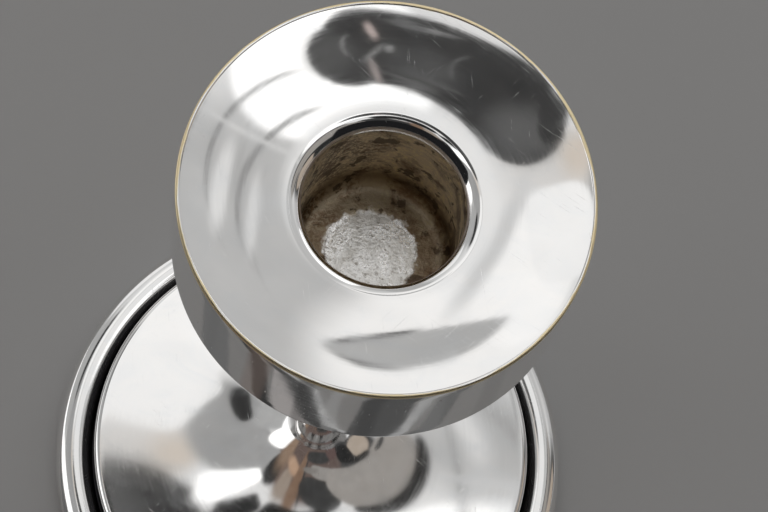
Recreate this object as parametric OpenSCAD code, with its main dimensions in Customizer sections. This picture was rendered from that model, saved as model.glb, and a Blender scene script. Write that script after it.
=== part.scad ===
// Plated table candlestick: a dished drum-shaped cup on a slim stem and a round weighted foot.
// Millimetres, +Z up. The origin is the centre of the felt, on the table.

/* [Overall] */
// Height from the table to the rim of the cup
total_h = 140; // [110:1:200]
// Thickness of the spun sheet of the cup, neck and foot
sheet_t = 1; // [0.7:0.05:1.2]

/* [Cup] */
// Outer diameter of the cup
cup_d = 58; // [50:1:80]
// Height of the cup's upright wall
cup_wall_h = 19.5; // [17:0.5:26]
// Inside radius of the bend under the cup's wall
cup_bend_r = 0.6; // [0.4:0.1:2]
// Drop from the rim to the mouth of the socket
pan_depth = 5.7; // [4.5:0.1:7.5]
// Radius of the hollow of the dished pan
pan_hollow_r = 81; // [60:1:120]
// Inside radius of the bend where the pan rolls down into the mouth
mouth_bend_r = 1; // [0.4:0.1:1.4]
// Radius of the rounded underside
underside_r = 33; // [28:1:80]

/* [Candle socket] */
// Bore that takes the foot of the candle
bore_d = 23; // [20:0.5:26]
// Step between the rolled mouth and the bore
mouth_step = 0.2; // [0.1:0.05:0.3]
// Depth of the socket, from its mouth to its floor
socket_depth = 19; // [15:0.5:22]
// Wall of the socket
socket_t = 0.6; // [0.5:0.05:1]
// Inside radius of the bend between the socket's wall and its floor
socket_bend_r = 2.2; // [1:0.1:4]
// Diameter of the shallow coined disc in the socket's floor
coin_d = 13.4; // [8:0.2:16]
// Depth of the coined disc
coin_depth = 0.2; // [0.1:0.05:0.3]

/* [Neck and stem] */
// Outer diameter of the stem
stem_d = 8; // [8:0.5:13]
// Wall of the stem tube
stem_t = 1; // [0.8:0.05:1.2]
// Height of the flared neck between the stem and the cup
neck_h = 25; // [20:1:36]
// Outer diameter of the neck's flange, under the cup
neck_d = 24; // [22:0.5:30]
// Width of the flat rim of that flange
neck_flange_w = 1.5; // [0.5:0.1:2]
// Width of the flat seat that the cup's underside keeps outside the flange
neck_seat_w = 2; // [1:0.1:3]

/* [Foot] */
// Outer diameter of the foot
base_d = 93.2; // [88:1:120]
// Height of the crown of the foot ring
ring_h = 7.6; // [7:0.1:9]
// Radius of the rounded crown of the foot ring
ring_r = 3.5; // [2.6:0.1:3.8]
// Inside radius of the bend at the bottom of the foot ring
ring_bend_r = 0.6; // [0.3:0.1:0.8]
// Width of the foot ring's turned-in lower edge
ring_lip_w = 3; // [2:0.1:4]
// Depth of the groove between the ring's crown and the dish
groove_depth = 1.8; // [1:0.1:2.2]
// Clear gap at the bottom of that groove
groove_gap = 0.3; // [0.1:0.05:0.6]
// Width of the shelf in the foot ring that carries the dish
shelf_w = 4; // [2.5:0.1:6]
// Height of the top of the dish at its edge
dish_edge_h = 11.2; // [10:0.1:14]
// Inside radius of the bend at the edge of the dish
dish_bend_r = 0.3; // [0.2:0.05:0.8]
// Steepness of the dish's trumpet: its slope is this size over the radius
flare_rate = 5.5; // [4:0.1:8]
// Width of the fillet between the trumpet and the stem
flare_fillet_w = 0.8; // [0.4:0.1:2]

/* [Inside] */
// Diameter of the tie rod that holds the candlestick together
rod_d = 4; // [3:0.5:5]
// Clearance round the tie rod where it passes through a piece
rod_clearance = 0.15; // [0.1:0.05:0.3]
// Height of the threaded boss under the socket
boss_h = 8; // [6:0.5:9]
// Diameter of that boss
boss_d = 9; // [7:0.5:10]
// Depth of the thread in the boss
boss_thread_h = 7; // [5:0.5:7.5]
// Length of the sleeves that centre the stem, inside the stem
sleeve_grip = 8; // [5:0.5:14]
// Length of each sleeve inside the neck or the foot
sleeve_tail = 4; // [2:0.5:5]
// Radius of the filling at its foot
ballast_r = 35.5; // [28:0.5:36]
// Height of the hub of the filling
ballast_h = 17; // [14:0.5:19]
// Radius of the pocket for the nut in the filling
pocket_r = 10; // [8.5:0.5:12]
// Height of the roof of that pocket
pocket_h = 11; // [10.5:0.1:13]

/* [Fasteners and felt] */
// Radius of the washer that spreads the pull of the nut
spreader_r = 9; // [8:0.5:9.5]
// Thickness of that washer
spreader_t = 1.2; // [0.8:0.1:1.5]
// Thickness of the spring washer
lock_t = 1.2; // [0.8:0.1:1.3]
// Length of the tie rod below the nut
rod_tail = 1.2; // [0.5:0.1:1.6]
// Thickness of the closing plate
closing_t = 0.8; // [0.5:0.05:1]
// Gap round the edge of the closing plate
closing_gap = 0.2; // [0.1:0.05:0.5]
// Thickness of the felt
felt_t = 1.6; // [1.4:0.05:2]
// Gap round the edge of the felt
felt_gap = 0.3; // [0.1:0.05:0.6]

/* [Hidden] */
$fn = 96;
arc_n = 16;       // steps along a small arc
sweep_n = 40;     // steps along a long curve

cup_r = cup_d / 2;
bore_r = bore_d / 2;
stem_r = stem_d / 2;
base_r = base_d / 2;
rod_r = rod_d / 2;
rod_hole_r = rod_r + rod_clearance;

// Cup. The pan's hollow passes through the rim and runs smoothly into the roll of the mouth.
mouth_z = total_h - pan_depth;
mouth_r = bore_r + mouth_step;
roll_r = mouth_bend_r + sheet_t;
roll_c = [mouth_r + roll_r, mouth_z];
rim = [cup_r, total_h];
pan_c = meet(roll_c, roll_r + pan_hollow_r, rim, pan_hollow_r);
pan_a0 = direction(pan_c, roll_c);
seat_r = cup_r - sheet_t;
pan_a1 = -acos((seat_r - pan_c[0]) / pan_hollow_r);
pan_under_a1 = -acos((seat_r - pan_c[0]) / (pan_hollow_r + sheet_t));

// Candle socket, which stands on the flat floor of the cup
socket_r = bore_r + socket_t;
floor_z = mouth_z - socket_depth;
socket_bottom_z = floor_z - socket_t;
boss_z = socket_bottom_z - boss_h;

// Underside of the cup, from the bend under the wall to the flat floor
land_z = socket_bottom_z - sheet_t;
land_r = neck_d / 2 + neck_seat_w;
cup_corner_r = cup_bend_r + sheet_t;
cup_corner = [cup_r - cup_corner_r, total_h - cup_wall_h + cup_corner_r];
under_c = meet([land_r, land_z], underside_r, cup_corner, underside_r - cup_corner_r);
under_a0 = direction(under_c, [land_r, land_z]);
under_a1 = direction(under_c, cup_corner);

// Neck and stem
neck_r = neck_d / 2;
neck_bottom_z = land_z - neck_h;

// Foot: felt, closing plate, ring, dish
foot_z = felt_t - sheet_t;
ring_c = [base_r - ring_r, ring_h - ring_r];
ring_corner_r = ring_bend_r + sheet_t;
shelf_z = ring_h - groove_depth;
shelf_rise = shelf_z - ring_c[1];
shelf_a = 180 - asin(shelf_rise / ring_r);
shelf_under_a = 180 - asin((shelf_rise - sheet_t) / (ring_r - sheet_t));
dish_r = ring_c[0] + ring_r * cos(shelf_a) - groove_gap;
shelf_r = dish_r - shelf_w;
dish_corner_r = dish_bend_r + sheet_t;
dish_edge_slope = atan(flare_rate / (dish_r - dish_corner_r));
dish_corner = [dish_r - dish_corner_r, dish_edge_h - dish_corner_r];
dish_start = dish_corner + dish_corner_r * [sin(dish_edge_slope), cos(dish_edge_slope)];
fillet_start_r = stem_r + flare_fillet_w;
fillet_slope = atan(flare_rate / fillet_start_r);
fillet_r = flare_fillet_w / (1 - sin(fillet_slope));
fillet_c = [stem_r + fillet_r, trumpet_z(fillet_start_r) + fillet_r * cos(fillet_slope)];
flare_top_h = fillet_c[1];
closing_z = felt_t;
inside_z = closing_z + closing_t;
closing_r = base_r - ring_corner_r - closing_gap;
lip_r = base_r - ring_lip_w;

// Nut and washers hang under the roof of the pocket
spreader_z = pocket_h - spreader_t;
lock_z = spreader_z - lock_t;
lock_r = 0.92 * rod_d;
nut_h = 0.8 * rod_d;
nut_af = 1.6 * rod_d;
nut_z = lock_z - nut_h;
rod_z = nut_z - rod_tail;

// Points along an arc about c, from angle a to angle b
function arc(c, r, a, b, n = arc_n) =
    [for (i = [0 : n]) c + r * [cos(a + (b - a) * i / n), sin(a + (b - a) * i / n)]];

// Where a circle of radius ra about a meets one of radius rb about b, left of the way from a to b
function meet(a, ra, b, rb) =
    let (d = norm(b - a), u = (b - a) / d, x = (ra * ra - rb * rb + d * d) / (2 * d))
    a + x * u + sqrt(ra * ra - x * x) * [-u[1], u[0]];

// Angle of the way from a to b
function direction(a, b) = atan2(b[1] - a[1], b[0] - a[0]);

function reversed(p) = [for (i = [len(p) - 1 : -1 : 0]) p[i]];

// Height of the dish's trumpet at radius r
function trumpet_z(r) = dish_start[1] + flare_rate * ln(dish_start[0] / r);

// Outline of the dish from the top of its fillet to its rolled edge, moved into the metal by d.
// The radii of the trumpet are in geometric progression, so its steps are even in height.
function trumpet(d = 0, n = sweep_n) = concat(
    arc(fillet_c, fillet_r + d, 180, 270 - fillet_slope),
    [for (i = [1 : n])
        let (r = fillet_start_r * pow(dish_start[0] / fillet_start_r, i / n),
             slope = atan(flare_rate / r))
        [r, trumpet_z(r)] - d * [sin(slope), cos(slope)]]
);

// Quarter-ellipse outline of the neck from the stem up to its level flange, moved into the metal
// by d
function neck_flare(d = 0, n = sweep_n) =
    let (r1 = neck_r - neck_flange_w, w = r1 - stem_r, h = neck_h - sheet_t)
    [for (i = [0 : n])
        let (t = 90 * i / n, m = norm([h * cos(t), w * sin(t)]))
        [r1 - w * cos(t) - d * h * cos(t) / m, neck_bottom_z + h * sin(t) + d * w * sin(t) / m]];

module tube(r_out, r_in, z, h) {
    translate([0, 0, z])
        difference() {
            cylinder(r = r_out, h = h);
            translate([0, 0, -1]) cylinder(r = r_in, h = h + 2);
        }
}

// Dished pan of the cup, with its middle rolled down into the mouth of the socket
module cup_pan() {
    color("gainsboro") rotate_extrude() polygon(concat(
        arc(pan_c, pan_hollow_r, pan_a1, pan_a0, sweep_n),
        arc(roll_c, roll_r, pan_a0 + 180, 180),
        arc(roll_c, mouth_bend_r, 180, pan_a0 + 180),
        arc(pan_c, pan_hollow_r + sheet_t, pan_a0, pan_under_a1, sweep_n)
    ));
}

// Drum wall, rounded underside and flat floor of the cup; its rim carries on the slope of the pan
module cup_shell() {
    color("silver") rotate_extrude() polygon(concat(
        [rim, [seat_r, pan_c[1] + pan_hollow_r * sin(pan_a1)]],
        arc(cup_corner, cup_bend_r, 0, under_a1),
        arc(under_c, underside_r - sheet_t, under_a1, under_a0),
        [[land_r - sheet_t, land_z + sheet_t], [boss_d / 2, land_z + sheet_t],
         [boss_d / 2, land_z]],
        arc(under_c, underside_r, under_a0, under_a1),
        arc(cup_corner, cup_corner_r, under_a1, 0)
    ));
}

// Drawn liner that grips the candle
module candle_socket() {
    inner = [bore_r - socket_bend_r, floor_z + socket_bend_r];
    color("rosybrown") rotate_extrude() polygon(concat(
        [[socket_r, mouth_z], [bore_r, mouth_z]],
        arc(inner, socket_bend_r, 0, -90),
        [[coin_d / 2, floor_z], [coin_d / 2, floor_z - coin_depth], [0, floor_z - coin_depth],
         [0, socket_bottom_z]],
        arc(inner, socket_bend_r + socket_t, -90, 0)
    ));
}

// Turned boss under the socket, tapped for the tie rod
module socket_boss() {
    color("goldenrod") difference() {
        translate([0, 0, boss_z]) cylinder(r = boss_d / 2, h = boss_h);
        translate([0, 0, boss_z - 1]) cylinder(r = rod_r, h = boss_thread_h + 1);
    }
}

// Flared neck, with a flat flange that is soldered under the cup
module neck_collar() {
    color("silver") rotate_extrude() polygon(concat(
        neck_flare(),
        [[neck_r, land_z - sheet_t], [neck_r, land_z]],
        reversed(neck_flare(sheet_t))
    ));
}

// Sleeve that centres the stem tube, with a tail that fits a piece of sheet at height z.
// The tail points down, or up when the sleeve is flipped.
module sleeve(z, flip) {
    color("goldenrod") translate([0, 0, z]) mirror([0, 0, flip]) {
        tube(stem_r - stem_t, rod_hole_r, 0, sleeve_grip);
        tube(stem_r - sheet_t, rod_hole_r, -sleeve_tail, sleeve_tail);
    }
}

module upper_sleeve() {
    sleeve(neck_bottom_z, 1);
}

module stem_tube() {
    color("silver") tube(stem_r, stem_r - stem_t, flare_top_h, neck_bottom_z - flare_top_h);
}

module lower_sleeve() {
    sleeve(flare_top_h, 0);
}

// Trumpet-shaped dish with its edge turned down onto the shelf of the foot ring
module base_dish() {
    color("gainsboro") rotate_extrude() polygon(concat(
        trumpet(),
        arc(dish_corner, dish_corner_r, 90 - dish_edge_slope, 0),
        [[dish_r, shelf_z], [dish_r - sheet_t, shelf_z]],
        arc(dish_corner, dish_bend_r, 0, 90 - dish_edge_slope),
        reversed(trumpet(sheet_t))
    ));
}

// Outer moulding of the foot: a rounded crown, a shelf for the dish and a turned-in lower edge
module foot_ring() {
    corner = [base_r - ring_corner_r, foot_z + ring_corner_r];
    color("silver") rotate_extrude() polygon(concat(
        [[lip_r, foot_z]],
        arc(corner, ring_corner_r, -90, 0),
        arc(ring_c, ring_r, 0, shelf_a),
        [[shelf_r, shelf_z], [shelf_r, shelf_z - sheet_t]],
        arc(ring_c, ring_r - sheet_t, shelf_under_a, 0),
        arc(corner, ring_bend_r, 0, -90),
        [[lip_r, foot_z + sheet_t]]
    ));
}

// Filling cast into the foot, as far as the dish above it allows, with a pocket for the nut
module ballast() {
    under_dish = concat(trumpet(sheet_t), [[dish_start[0], 0], [0, 0], [0, flare_top_h]]);
    color("dimgray") rotate_extrude() difference() {
        intersection() {
            translate([rod_hole_r, inside_z])
                square([ballast_r - rod_hole_r, ballast_h - inside_z]);
            polygon(under_dish);
        }
        translate([0, inside_z - 1]) square([pocket_r, pocket_h - inside_z + 1]);
    }
}

module tie_rod() {
    color("darkgray") translate([0, 0, rod_z])
        cylinder(r = rod_r, h = boss_z + boss_thread_h - rod_z);
}

module spreader_washer() {
    color("darkgray") tube(spreader_r, rod_hole_r, spreader_z, spreader_t);
}

module lock_washer() {
    color("darkgray") tube(lock_r, rod_hole_r, lock_z, lock_t);
}

module tie_nut() {
    color("darkgray") translate([0, 0, nut_z]) difference() {
        cylinder(d = nut_af / cos(30), h = nut_h, $fn = 6);
        translate([0, 0, -1]) cylinder(r = rod_r, h = nut_h + 2);
    }
}

module closing_plate() {
    color("burlywood") translate([0, 0, closing_z]) cylinder(r = closing_r, h = closing_t);
}

module felt_pad() {
    color("darkolivegreen") cylinder(r = lip_r - felt_gap, h = felt_t);
}

cup_pan();
cup_shell();
candle_socket();
socket_boss();
neck_collar();
upper_sleeve();
stem_tube();
lower_sleeve();
base_dish();
foot_ring();
ballast();
tie_rod();
spreader_washer();
lock_washer();
tie_nut();
closing_plate();
felt_pad();
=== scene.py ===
"""Looks of a plated table candlestick, built round its CAD frame. Outlines are in millimetres."""

import math

import bmesh
import bpy
import numpy as np
from mathutils import Matrix, Vector, noise


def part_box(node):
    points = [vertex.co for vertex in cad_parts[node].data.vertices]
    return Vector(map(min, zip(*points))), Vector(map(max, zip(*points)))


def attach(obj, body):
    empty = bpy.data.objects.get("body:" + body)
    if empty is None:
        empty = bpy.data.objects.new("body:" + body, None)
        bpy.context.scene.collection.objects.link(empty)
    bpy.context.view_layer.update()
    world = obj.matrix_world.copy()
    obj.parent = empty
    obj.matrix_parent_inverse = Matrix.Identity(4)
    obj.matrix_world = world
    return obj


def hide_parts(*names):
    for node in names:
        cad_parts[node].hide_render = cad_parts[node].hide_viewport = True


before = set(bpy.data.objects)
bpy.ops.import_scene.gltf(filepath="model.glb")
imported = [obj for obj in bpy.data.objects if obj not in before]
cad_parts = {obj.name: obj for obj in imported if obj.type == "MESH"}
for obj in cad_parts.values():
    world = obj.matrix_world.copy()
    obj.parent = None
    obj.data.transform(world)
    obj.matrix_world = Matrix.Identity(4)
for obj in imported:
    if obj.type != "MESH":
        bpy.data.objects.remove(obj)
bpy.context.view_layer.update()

MM = 0.001
TURN = 2 * math.pi


# ---------------------------------------- sizes, from the CAD nodes

def cad_size(node):
    """Outer radius, lowest z and highest z of a CAD node, in millimetres."""
    lo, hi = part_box(node)
    return hi.x / MM, lo.z / MM, hi.z / MM


SHEET = 1.0                                   # spun sheet
cup_r, land_z, rim_z = cad_size("cup_shell")
_, mouth_z, _ = cad_size("cup_pan")
socket_r, socket_z, _ = cad_size("candle_socket")
boss_r, boss_z, boss_top = cad_size("socket_boss")
neck_r, neck_z, _ = cad_size("neck_collar")
stem_r, stem_z, stem_top = cad_size("stem_tube")
dish_r, shelf_z, flare_z = cad_size("base_dish")
foot_r, foot_z, crown_z = cad_size("foot_ring")
felt_r, _, felt_z = cad_size("felt_pad")

SOCKET_WALL = 0.6
CAD_MOUTH_STEP, CAD_ROLL_R = 0.2, 2.0
MOUTH_SHOW = 0.05                             # how far the socket's bore is inside the mouth
PAN_HOLLOW_R = 81.0
ROLL_R = 2.9                                  # the visible roll is fuller than the CAD's
ROLL_END = 58.0                               # degrees from level, so it stops short of upright
ARRIS_R = 0.16
CUP_WALL_H = 20.8
CUP_CORNER_R = 1.9
UNDERSIDE_R = 33.0
FIT, PAN_FIT = 0.02, 0.03                     # clearances between pieces of the cup
SOCKET_BEND_R = 2.2
COIN_R, COIN_DEPTH = 6.7, 0.08                # bright disc in the socket's floor
NECK_FLANGE_W = 1.5
NECK_SEAT_W = 2.0
RING_R = 3.5
RING_CORNER_R = 1.6
RING_LIP_W = 3.0
SHELF_W = 4.0
DISH_EDGE_H = 11.2
DISH_CORNER_R = 1.3
FLARE_RATE = 5.5
FLARE_FILLET_W = 0.15
RIM_LIP = 0.55                                # edge of the drum's wall that shows round the pan
RIM_BEAD_R = 0.35                             # rounding of that edge
EDGE = 0.12                                   # rounding of a trimmed edge
GROOVE_IN, GROOVE_OUT = 39.6, 41.5            # radii between which the foot's groove is painted near-black: tarnish and painted shade
TIE_HOLE_R = 2.15
THREAD_PITCH, THREAD_DEPTH = 0.7, 0.43
LOW_THREAD, HIGH_THREAD = 11, 10              # lengths at the tie rod's ends


# ---------------------------------------- outlines

def arc(c, r, a, b, n=24):
    """Points along an arc about c, from angle a to angle b in degrees."""
    steps = [math.radians(a + (b - a) * i / n) for i in range(n + 1)]
    return [(c[0] + r * math.cos(t), c[1] + r * math.sin(t)) for t in steps]


def meet(a, ra, b, rb):
    """Where a circle about a meets one about b, left of the way from a to b."""
    d = math.dist(a, b)
    ux, uy = (b[0] - a[0]) / d, (b[1] - a[1]) / d
    x = (ra * ra - rb * rb + d * d) / (2 * d)
    h = math.sqrt(ra * ra - x * x)
    return a[0] + x * ux - h * uy, a[1] + x * uy + h * ux


def direction(a, b):
    return math.degrees(math.atan2(b[1] - a[1], b[0] - a[0]))


def line(a, b, n):
    """Points strictly between a and b."""
    return [(a[0] + (b[0] - a[0]) * i / n, a[1] + (b[1] - a[1]) * i / n) for i in range(1, n)]


def rounded(corners, n=5):
    """Closed outline through corners (r, z) or (r, z, radius), with those corners rounded."""
    out, count = [], len(corners)
    for i, corner in enumerate(corners):
        p = Vector(corner[:2])
        radius = corner[2] if len(corner) > 2 else 0
        if not radius:
            out.append(tuple(p))
            continue
        before = (Vector(corners[i - 1][:2]) - p).normalized()
        after = (Vector(corners[(i + 1) % count][:2]) - p).normalized()
        half = math.acos(max(-1, min(1, before.dot(after)))) / 2
        centre = p + (before + after).normalized() * (radius / math.sin(half))
        start = p + before * (radius / math.tan(half))
        end = p + after * (radius / math.tan(half))
        a, b = (start - centre), (end - centre)
        sweep = math.atan2(a.x * b.y - a.y * b.x, a.dot(b))
        base = math.atan2(a.y, a.x)
        for k in range(n + 1):
            t = base + sweep * k / n
            out.append((centre.x + radius * math.cos(t), centre.y + radius * math.sin(t)))
    return out


# ---------------------------------------- outline the cup's pieces share

cad_mouth_r = socket_r - SOCKET_WALL + CAD_MOUTH_STEP
mouth_r = socket_r - SOCKET_WALL + MOUTH_SHOW
pan_c = meet((cad_mouth_r + CAD_ROLL_R, mouth_z), CAD_ROLL_R + PAN_HOLLOW_R,
             (cup_r, rim_z), PAN_HOLLOW_R)
roll_x = mouth_r + ARRIS_R + (ROLL_R - ARRIS_R) * math.sin(math.radians(ROLL_END))
roll_c = (roll_x, pan_c[1] - math.sqrt((PAN_HOLLOW_R + ROLL_R) ** 2 - (roll_x - pan_c[0]) ** 2))
roll_a = direction(pan_c, roll_c)
arris_c = (mouth_r + ARRIS_R, roll_c[1] + (ROLL_R - ARRIS_R) * math.cos(math.radians(ROLL_END)))


# ---------------------------------------- meshes

def mesh_from(name, bm, smooth=True):
    for face in bm.faces:
        face.smooth = smooth
    mesh = bpy.data.meshes.new(name)
    bm.to_mesh(mesh)
    bm.free()
    return mesh


def place_object(name, mesh, material, hidden_from=()):
    """Object in the scene; the kinds of ray that are named don't meet it."""
    mesh.materials.append(material)
    placed = bpy.data.objects.new(name, mesh)
    bpy.context.scene.collection.objects.link(placed)
    for ray in hidden_from:
        setattr(placed, "visible_" + ray, False)
    return placed


def finish_mesh(name, bm, material, node, sharp=35):
    """Turns bm into a smooth shaded piece that rides on the root and stands for a CAD node."""
    bmesh.ops.recalc_face_normals(bm, faces=bm.faces)
    mesh = mesh_from(name, bm)
    mesh.set_sharp_from_angle(angle=math.radians(sharp))
    piece = place_object(name, mesh, material)
    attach(piece, "root")
    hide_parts(node)


def lathe(outline, steps=256, shape=None):
    """Solid of revolution about z of a closed outline in millimetres; a point at r = 0 is a pole.
    shape(r, z, angle) may move a point: it gives the new (r, z)."""
    bm = bmesh.new()
    rings = []
    for r, z in outline:
        if r < 1e-6:
            rings.append([bm.verts.new((0, 0, z * MM))])
            continue
        ring = []
        for i in range(steps):
            a = TURN * i / steps
            rr, zz = shape(r, z, a) if shape else (r, z)
            ring.append(bm.verts.new((rr * MM * math.cos(a), rr * MM * math.sin(a), zz * MM)))
        rings.append(ring)
    for a, b in zip(rings, rings[1:] + rings[:1]):
        if len(a) == 1 and len(b) == 1:
            continue
        for i in range(steps):
            j = (i + 1) % steps
            if len(a) == 1:
                bm.faces.new((a[0], b[i], b[j]))
            elif len(b) == 1:
                bm.faces.new((a[i], a[j], b[0]))
            else:
                bm.faces.new((a[i], a[j], b[j], b[i]))
    return bm


# ---------------------------------------- node helpers

class Nodes:
    """Short forms for building one node tree."""

    def __init__(self, tree):
        self.tree = tree

    def add(self, kind, inputs=None, **settings):
        n = self.tree.nodes.new(kind)
        for key, value in settings.items():
            setattr(n, key, value)
        self.fill(n, inputs or {})
        return n

    def fill(self, n, inputs):
        """Gives the node's inputs values, or links from other nodes."""
        for key, value in inputs.items():
            if isinstance(value, bpy.types.NodeSocket):
                self.tree.links.new(value, n.inputs[key])
            else:
                n.inputs[key].default_value = value

    def math(self, operation, a, b=0.0):
        return self.add("ShaderNodeMath", {0: a, 1: b}, operation=operation).outputs[0]

    def plus(self, a, b):
        return self.math("ADD", a, b)

    def times(self, a, b):
        return self.math("MULTIPLY", a, b)

    def vector(self, operation, a, b, second=1):
        return self.add("ShaderNodeVectorMath", {0: a, second: b}, operation=operation).outputs[0]

    def ramp(self, value, low, high, to_low=0.0, to_high=1.0, smooth=True):
        """value between low and high, eased, as to_low to to_high."""
        n = self.add("ShaderNodeMapRange", {"Value": value, "From Min": low, "From Max": high,
                                            "To Min": to_low, "To Max": to_high},
                     interpolation_type="SMOOTHSTEP" if smooth else "LINEAR")
        return n.outputs["Result"]

    def mix(self, factor, a, b):
        n = self.add("ShaderNodeMix", data_type="RGBA")
        self.fill(n, {"Factor": factor, "A": a, "B": b})
        return n.outputs["Result"]

    def noise(self, vector, scale, detail=3.0, rough=0.5, distortion=0.0):
        n = self.add("ShaderNodeTexNoise", {"Vector": vector, "Scale": scale, "Detail": detail,
                                            "Roughness": rough, "Distortion": distortion})
        return n.outputs["Fac"]

    def bump(self, height, distance, normal=None):
        inputs = {"Height": height, "Strength": 1.0, "Distance": distance}
        if normal is not None:
            inputs["Normal"] = normal
        return self.add("ShaderNodeBump", inputs).outputs["Normal"]

    def place(self):
        """Object coordinates in millimetres."""
        at = self.add("ShaderNodeTexCoord").outputs["Object"]
        return self.vector("SCALE", at, 1 / MM, "Scale")

    def split(self, vector):
        n = self.add("ShaderNodeSeparateXYZ", {"Vector": vector})
        return n.outputs[0], n.outputs[1], n.outputs[2]

    def join(self, x, y, z):
        return self.add("ShaderNodeCombineXYZ", {0: x, 1: y, 2: z}).outputs[0]

    def surface(self, shader):
        """Makes shader what the material shows."""
        self.add("ShaderNodeOutputMaterial", {"Surface": shader.outputs[0]})


def grey(v, warm=0.0):
    return v * (1 + warm), v, v * (1 - warm), 1.0


def empty_material(name):
    """A material without nodes, and its Nodes."""
    material = bpy.data.materials.new(name)
    material.use_nodes = True
    material.node_tree.nodes.clear()
    return material, Nodes(material.node_tree)


def new_material(name):
    """A material with a Principled shader, its Nodes and that shader."""
    material, k = empty_material(name)
    shader = k.add("ShaderNodeBsdfPrincipled")
    k.surface(shader)
    return material, k, shader


def around(k, place, turns, along):
    """Seamless coordinates round the axis: fine across the lathe lines, slow along them."""
    x, y, z = k.split(place)
    r = k.math("MAXIMUM", k.math("SQRT", k.plus(k.times(x, x), k.times(y, y))), 0.001)
    across = k.plus(r, k.times(z, 0.83))
    return k.join(k.times(k.math("DIVIDE", x, r), turns), k.times(k.math("DIVIDE", y, r), turns),
                  k.times(across, along)), r, z


def scratches(k, place, angle, density, width=9.0):
    """Mask of fine straight scratches in one direction, in patches."""
    turned = k.add("ShaderNodeVectorRotate", {"Vector": place, "Angle": math.radians(angle),
                                              "Axis": (0.15, 0.1, 1)})
    x, y, z = k.split(turned.outputs[0])
    lines = k.noise(k.join(k.times(x, 0.14), k.times(y, width), k.times(z, 0.5)),
                    1.0, 2.0, 0.6, 0.25)
    patch = k.noise(k.vector("ADD", place, (angle, 0, 0)), 0.16, 2.0)
    hit = k.ramp(lines, 0.70 - 0.04 * density, 0.78 - 0.04 * density)
    return k.times(hit, k.ramp(patch, 0.45, 0.62))


# ---------------------------------------- materials

SILVER, GREYER_SILVER = (0.955, 0.945, 0.93, 1), (0.93, 0.93, 0.925, 1)
PIT = (0.16, 0.13, 0.11, 1)
BARE_BRASS = (1.0, 0.85, 0.55, 1)             # where the plate is worn through
RUBBED_SILVER = (0.95, 0.87, 0.82, 1)
# near-black of the foot's groove: tarnish, and painted shade of a deep gap
BLACK_TARNISH_AND_SHADE = (0.035, 0.034, 0.036, 1)


def silver_material(name, rim_wear=False, mouth_wear=False, groove=False, dull=0.0, wave=1.0):
    """Polished silver plate: spun lines, a slow waviness, smears, fine scratches and pits. It may
    have a rim worn to the brass, a rubbed edge round the mouth, or tarnish and painted shade in
    the foot's groove."""
    material, k, shader = new_material(name)
    place = k.place()
    polar, r, z = around(k, place, 2.2, 2.6)
    spun = k.noise(polar, 1.0, 4.0, 0.65)
    bands = k.noise(around(k, place, 1.3, 0.75)[0], 1.0, 2.0, 0.5)
    slow = k.noise(place, 0.055, 1.5, 0.4)
    smear = k.noise(k.vector("MULTIPLY", place, (1, 1.6, 1)), 0.12, 4.0, 0.6, 0.8)
    marks = k.math("MAXIMUM", scratches(k, place, 24, 1.0), scratches(k, place, 118, 0.6))
    marks = k.math("MAXIMUM", marks, scratches(k, place, 68, 0.8, 6.0))
    cells = k.add("ShaderNodeTexVoronoi", {"Vector": place, "Scale": 0.12, "Randomness": 1.0})
    rare = k.ramp(k.split(cells.outputs["Color"])[0], 0.80, 0.82)
    spot = k.times(k.ramp(cells.outputs["Distance"], 0.042, 0.022), rare)

    tone = k.mix(k.ramp(smear, 0.35, 0.7), SILVER, GREYER_SILVER)
    tone = k.mix(k.times(spot, 0.8), tone, PIT)
    rough = k.plus(k.ramp(smear, 0.4, 0.75, 0.045 + dull, 0.075 + dull),
                   k.ramp(spun, 0.4, 0.7, 0.0, 0.02))
    rough = k.plus(rough, k.times(marks, 0.22))
    rough = k.plus(rough, k.times(spot, 0.4))
    if rim_wear:
        patchy = k.noise(place, 0.09, 3.0, 0.6)
        start = k.ramp(patchy, 0.3, 0.7, cup_r - 0.20, cup_r - 0.75, smooth=False)
        near = k.times(k.ramp(k.math("SUBTRACT", r, start), 0.0, 0.14),
                      k.ramp(z, rim_z - 0.75, rim_z - 0.35))
        tone = k.mix(near, tone, BARE_BRASS)
        rough = k.plus(rough, k.times(near, 0.34))
    if mouth_wear:
        arris = k.times(k.ramp(r, mouth_r + 0.34, mouth_r + 0.2),
                       k.ramp(z, arris_c[1] - 0.12, arris_c[1] - 0.04))
        tone = k.mix(arris, tone, RUBBED_SILVER)
        rough = k.plus(rough, k.times(arris, 0.3))
    # the foot's groove is painted near-black: tarnish, and painted shade where a deep gap would be
    # dark
    if groove:
        ragged = k.times(k.math("SUBTRACT", k.noise(place, 0.5, 3.0, 0.6), 0.5), 0.5)
        groove_tarnish_and_shade = k.math("MULTIPLY",
                           k.ramp(k.plus(r, ragged), GROOVE_OUT + 0.7, GROOVE_IN + 0.5),
                           k.ramp(r, GROOVE_IN - 0.15, GROOVE_IN + 0.1))
        groove_tarnish_and_shade = k.times(groove_tarnish_and_shade, k.ramp(z, DISH_EDGE_H - 0.6, DISH_EDGE_H - 1.4))
        tone = k.mix(groove_tarnish_and_shade, tone, BLACK_TARNISH_AND_SHADE)
        rough = k.plus(rough, k.times(groove_tarnish_and_shade, 0.3))
    normal = k.bump(slow, 0.012 * MM * wave)
    normal = k.bump(bands, 0.0016 * MM * wave, normal)
    normal = k.bump(spun, 0.0003 * MM * wave, normal)
    k.fill(shader, {"Base Color": tone, "Roughness": rough, "Metallic": 1.0, "Normal": normal})
    return material


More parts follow.
